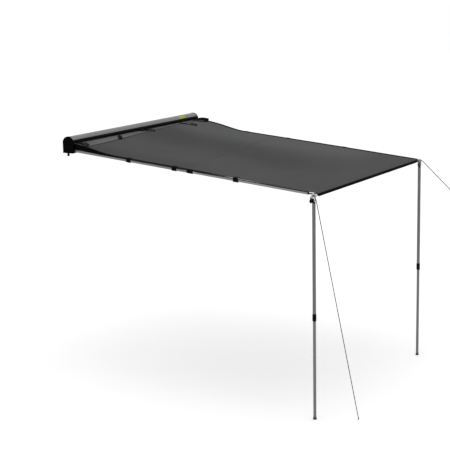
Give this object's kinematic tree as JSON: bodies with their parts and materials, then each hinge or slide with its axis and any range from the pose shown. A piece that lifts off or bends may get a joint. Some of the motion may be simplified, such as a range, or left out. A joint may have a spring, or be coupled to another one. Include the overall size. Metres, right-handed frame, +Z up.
{
  "type": "vehicle side awning",
  "caption": "Vehicle side awning opened out: arched case, twist-lock telescopic arms and legs, front rail, cloth canopy, tie straps and guy ropes.",
  "frame": {"origin": "centre of the case's back face, which bolts against the roof rack", "axes": "+X away from the vehicle, +Y along the vehicle from the near end to the far end, +Z up"},
  "size_m": [2.8765, 2.139, 2.1914],
  "materials": {
    "case_anodised": "satin anodised extrusion with fine lines along its length",
    "hood_anodised": "satin anodised extrusion with fine lines along its length",
    "cap_plastic": "fine-textured moulding",
    "bracket_steel": "black powder coat",
    "bolt_steel": "black-plated steel",
    "canopy_cloth": "coated woven polyester",
    "rail_aluminium": "mill finish",
    "corner_cast": "bright cast and tumbled",
    "webbing": "woven webbing",
    "buckle_plastic": "moulded nylon",
    "hook_tape": "hook-and-loop tape",
    "tube_anodised": "satin anodised tube",
    "inner_tube_anodised": "satin anodised tube",
    "nylon_fitting": "glass-filled nylon",
    "lock_nylon": "moulded nylon with flutes",
    "rope": "braided cord",
    "stopper_rubber": "smooth",
    "foot_rubber": "worn matt"
  },
  "bodies": {
    "case_and_canopy": {"case_back_profile": "case_anodised", "case_hood": "hood_anodised", "canopy": "canopy_cloth", "front_rail": "rail_aluminium", "near_end_cap": "cap_plastic", "near_hinge_bracket": "bracket_steel", "near_pivot_bolt": "bolt_steel", "near_corner_bracket": "corner_cast", "near_leg_pin": "bolt_steel", "near_guy_rope": "rope", "near_rope_stopper": "stopper_rubber", "near_arm_strap_1": "hook_tape", "near_arm_strap_2": "hook_tape", "near_arm_strap_3": "hook_tape", "far_end_cap": "cap_plastic", "far_hinge_bracket": "bracket_steel", "far_pivot_bolt": "bolt_steel", "far_corner_bracket": "corner_cast", "far_leg_pin": "bolt_steel", "far_guy_rope": "rope", "far_rope_stopper": "stopper_rubber", "far_arm_strap_1": "hook_tape", "far_arm_strap_2": "hook_tape", "far_arm_strap_3": "hook_tape", "near_end_strap": "webbing", "near_end_buckle": "buckle_plastic", "near_middle_strap": "webbing", "near_middle_buckle": "buckle_plastic", "middle_strap": "webbing", "middle_buckle": "buckle_plastic", "far_middle_strap": "webbing", "far_middle_buckle": "buckle_plastic", "far_end_strap": "webbing", "far_rope_runner": "buckle_plastic", "far_rope_loop": "rope"},
    "near_arm_outer": {"near_arm_knuckle": "nylon_fitting", "near_arm_outer_tube": "tube_anodised", "near_arm_collet": "nylon_fitting"},
    "near_arm_lock": {"near_arm_lock_nut": "lock_nylon"},
    "near_arm_inner": {"near_arm_inner_tube": "inner_tube_anodised", "near_arm_hook": "nylon_fitting"},
    "near_leg_upper": {"near_leg_head": "nylon_fitting", "near_leg_upper_tube": "tube_anodised", "near_leg_collet": "nylon_fitting"},
    "near_leg_lock": {"near_leg_lock_nut": "lock_nylon"},
    "near_leg_lower": {"near_leg_lower_tube": "inner_tube_anodised", "near_leg_foot": "foot_rubber"},
    "far_arm_outer": {"far_arm_knuckle": "nylon_fitting", "far_arm_outer_tube": "tube_anodised", "far_arm_collet": "nylon_fitting"},
    "far_arm_lock": {"far_arm_lock_nut": "lock_nylon"},
    "far_arm_inner": {"far_arm_inner_tube": "inner_tube_anodised", "far_arm_hook": "nylon_fitting"},
    "far_leg_upper": {"far_leg_head": "nylon_fitting", "far_leg_upper_tube": "tube_anodised", "far_leg_collet": "nylon_fitting"},
    "far_leg_lock": {"far_leg_lock_nut": "lock_nylon"},
    "far_leg_lower": {"far_leg_lower_tube": "inner_tube_anodised", "far_leg_foot": "foot_rubber"}
  },
  "joints": [
    {"name": "near_arm_swing", "type": "hinge", "parent": "case_and_canopy", "child": "near_arm_outer", "pos_m": [0.04, -0.98, -0.04519], "axis": [0.0862, 0, 0.9963], "range_deg": [0, 90]},
    {"name": "near_arm_slide", "type": "slide", "parent": "near_arm_outer", "child": "near_arm_inner", "axis": [-0.9963, 0, 0.0862], "range_m": [0, 1.001]},
    {"name": "near_arm_lock_turn", "type": "hinge", "parent": "near_arm_outer", "child": "near_arm_lock", "pos_m": [1.3252, -0.98, -0.15636], "axis": [0.9963, 0, -0.0862], "range_deg": [0, 90]},
    {"name": "near_leg_fold", "type": "hinge", "parent": "case_and_canopy", "child": "near_leg_upper", "pos_m": [2.5, -1, -0.29954], "axis": [1, 0, 0], "range_deg": [0, 90]},
    {"name": "near_leg_slide", "type": "slide", "parent": "near_leg_upper", "child": "near_leg_lower", "axis": [0, 0, 1], "range_m": [0, 0.78]},
    {"name": "near_leg_lock_turn", "type": "hinge", "parent": "near_leg_upper", "child": "near_leg_lock", "pos_m": [2.5, -1, -1.25554], "axis": [0, 0, -1], "range_deg": [0, 90]},
    {"name": "far_arm_swing", "type": "hinge", "parent": "case_and_canopy", "child": "far_arm_outer", "pos_m": [0.08, 0.98, -0.04865], "axis": [-0.0862, 0, -0.9963], "range_deg": [0, 90]},
    {"name": "far_arm_slide", "type": "slide", "parent": "far_arm_outer", "child": "far_arm_inner", "axis": [-0.9963, 0, 0.0862], "range_m": [0, 1.001]},
    {"name": "far_arm_lock_turn", "type": "hinge", "parent": "far_arm_outer", "child": "far_arm_lock", "pos_m": [1.3652, 0.98, -0.15982], "axis": [0.9963, 0, -0.0862], "range_deg": [0, 90]},
    {"name": "far_leg_fold", "type": "hinge", "parent": "case_and_canopy", "child": "far_leg_upper", "pos_m": [2.536, 1, -0.29954], "axis": [-1, 0, 0], "range_deg": [0, 90]},
    {"name": "far_leg_slide", "type": "slide", "parent": "far_leg_upper", "child": "far_leg_lower", "axis": [0, 0, 1], "range_m": [0, 0.78]},
    {"name": "far_leg_lock_turn", "type": "hinge", "parent": "far_leg_upper", "child": "far_leg_lock", "pos_m": [2.536, 1, -1.25554], "axis": [0, 0, -1], "range_deg": [0, 90]}
  ],
  "couplings": [
    {"joint": "near_arm_slide", "follows": "near_arm_swing", "m_per_rad": 0.63662},
    {"joint": "far_arm_slide", "follows": "far_arm_swing", "m_per_rad": 0.63662}
  ]
}
